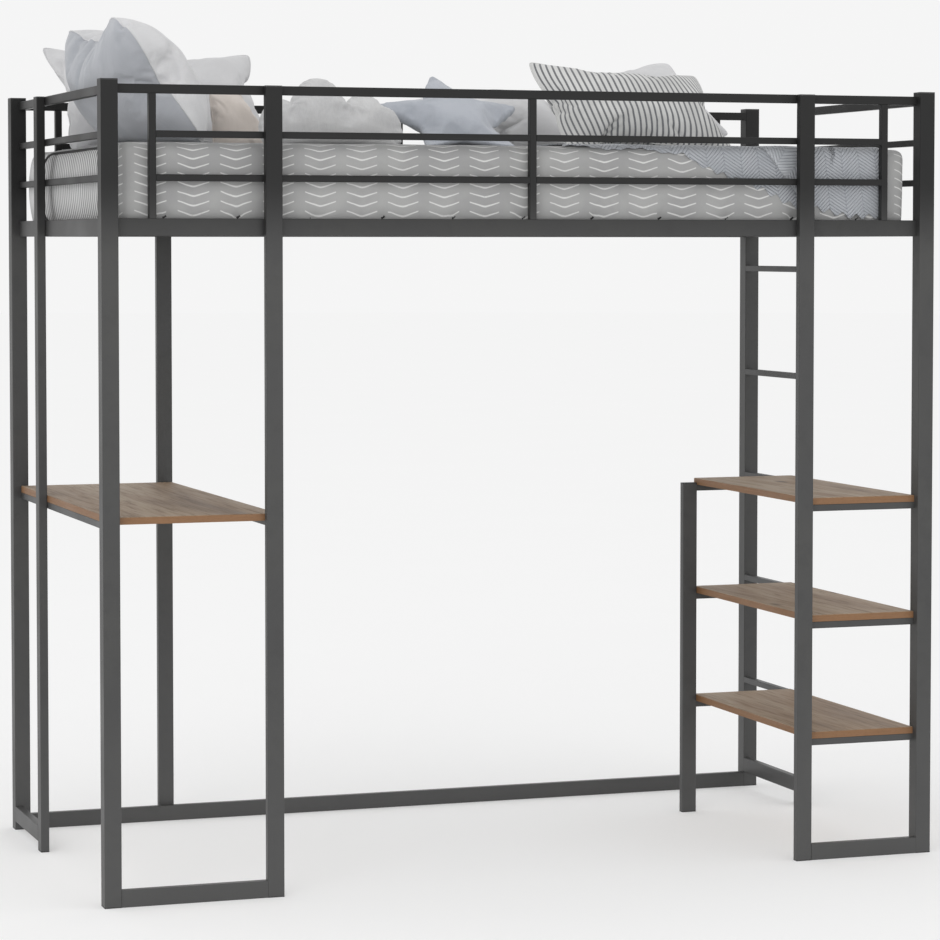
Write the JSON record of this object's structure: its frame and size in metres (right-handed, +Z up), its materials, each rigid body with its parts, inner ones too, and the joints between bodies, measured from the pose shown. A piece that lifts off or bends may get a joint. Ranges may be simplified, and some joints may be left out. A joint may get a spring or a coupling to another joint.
{
  "type": "loft bed with desk",
  "caption": "Metal-framed loft bed with guard rails, an end ladder, a desk board at one end, open shelves at the other, and a dressed mattress.",
  "frame": {"origin": "on the floor, at the centre of the footprint", "axes": "+X along the bed towards the ladder and the shelves, +Y towards the rear side, +Z up"},
  "size_m": [2, 1.04, 1.9635],
  "materials": {
    "powder_coat": "matt charcoal powder coat with a fine grain",
    "black_plastic": "matt black moulded plastic",
    "bolt_steel": "blackened steel",
    "rustic_board": "rustic brown wood-grain laminate with orange-brown edges",
    "mattress_cover": "mid-grey cotton with rows of white chevron dashes, ribbed end",
    "throw_knit": "blue-grey herringbone knit with a pinked edge",
    "blue_grey_cotton": "plain blue-grey cotton",
    "light_grey_cotton": "plain light grey cotton",
    "striped_cotton": "light grey cotton with narrow dark stripes",
    "beige_cotton": "plain beige cotton",
    "white_plush": "short off-white plush"
  },
  "bodies": {
    "frame": {"bed_rail_front": "powder_coat", "bed_rail_left_end": "powder_coat", "bed_rail_rear": "powder_coat", "bed_rail_right_end": "powder_coat", "bracket_bolts": "bolt_steel", "centre_beam": "powder_coat", "corner_brackets": "powder_coat", "corner_post_front_left": "powder_coat", "corner_post_front_right": "powder_coat", "corner_post_rear_left": "powder_coat", "corner_post_rear_right": "powder_coat", "desk_bar_left": "powder_coat", "desk_bar_right": "powder_coat", "desk_board": "rustic_board", "desk_front_upright": "powder_coat", "desk_rear_upright": "powder_coat", "feet": "black_plastic", "floor_bar_desk_front": "powder_coat", "floor_bar_left_end": "powder_coat", "floor_bar_rear": "powder_coat", "floor_bar_shelf_front": "powder_coat", "guard_front": "powder_coat", "guard_left_end": "powder_coat", "guard_rear": "powder_coat", "guard_right_end": "powder_coat", "ladder_bottom_bar": "powder_coat", "ladder_rung_1": "powder_coat", "ladder_rung_2": "powder_coat", "ladder_rung_3": "powder_coat", "ladder_rung_4": "powder_coat", "ladder_rung_5": "powder_coat", "ladder_upright": "powder_coat", "left_end_upright": "powder_coat", "shelf_bar_front_bottom": "powder_coat", "shelf_bar_front_middle": "powder_coat", "shelf_bar_front_top": "powder_coat", "shelf_bar_rear_bottom": "powder_coat", "shelf_bar_rear_middle": "powder_coat", "shelf_bar_rear_top": "powder_coat", "shelf_board_bottom": "rustic_board", "shelf_board_middle": "rustic_board", "shelf_board_top": "rustic_board", "shelf_front_upright": "powder_coat", "shelf_rear_upright": "powder_coat", "slat_ledge_front": "powder_coat", "slat_ledge_rear": "powder_coat", "slats_front": "powder_coat", "slats_rear": "powder_coat", "top_caps": "black_plastic"},
    "mattress": {"mattress": "mattress_cover", "throw_blanket": "throw_knit"},
    "pillow_large": {"pillow_large": "blue_grey_cotton"},
    "pillow_corner": {"pillow_corner": "light_grey_cotton"},
    "cushion_beige": {"cushion_beige": "beige_cotton"},
    "pillow_low": {"pillow_low": "light_grey_cotton"},
    "pillow_striped": {"pillow_striped": "striped_cotton"},
    "pillow_right": {"pillow_right": "light_grey_cotton"},
    "cloud_cushion": {"cloud_cushion": "white_plush"},
    "star_cushion": {"star_cushion": "blue_grey_cotton"}
  },
  "joints": [
    {"name": "mattress_lift", "type": "slide", "parent": "frame", "child": "mattress", "axis": [0, 0, 1], "range_m": [0, 0.45]},
    {"name": "pillow_large_lift", "type": "slide", "parent": "mattress", "child": "pillow_large", "axis": [0, 0, 1], "range_m": [0, 0.3]},
    {"name": "pillow_corner_lift", "type": "slide", "parent": "mattress", "child": "pillow_corner", "axis": [0, 0, 1], "range_m": [0, 0.3]},
    {"name": "cushion_beige_lift", "type": "slide", "parent": "mattress", "child": "cushion_beige", "axis": [0, 0, 1], "range_m": [0, 0.3]},
    {"name": "pillow_low_lift", "type": "slide", "parent": "mattress", "child": "pillow_low", "axis": [0, 0, 1], "range_m": [0, 0.3]},
    {"name": "pillow_striped_lift", "type": "slide", "parent": "mattress", "child": "pillow_striped", "axis": [0, 0, 1], "range_m": [0, 0.3]},
    {"name": "pillow_right_lift", "type": "slide", "parent": "mattress", "child": "pillow_right", "axis": [0, 0, 1], "range_m": [0, 0.3]},
    {"name": "cloud_cushion_lift", "type": "slide", "parent": "mattress", "child": "cloud_cushion", "axis": [0, 0, 1], "range_m": [0, 0.3]},
    {"name": "star_cushion_lift", "type": "slide", "parent": "mattress", "child": "star_cushion", "axis": [0, 0, 1], "range_m": [0, 0.3]}
  ]
}
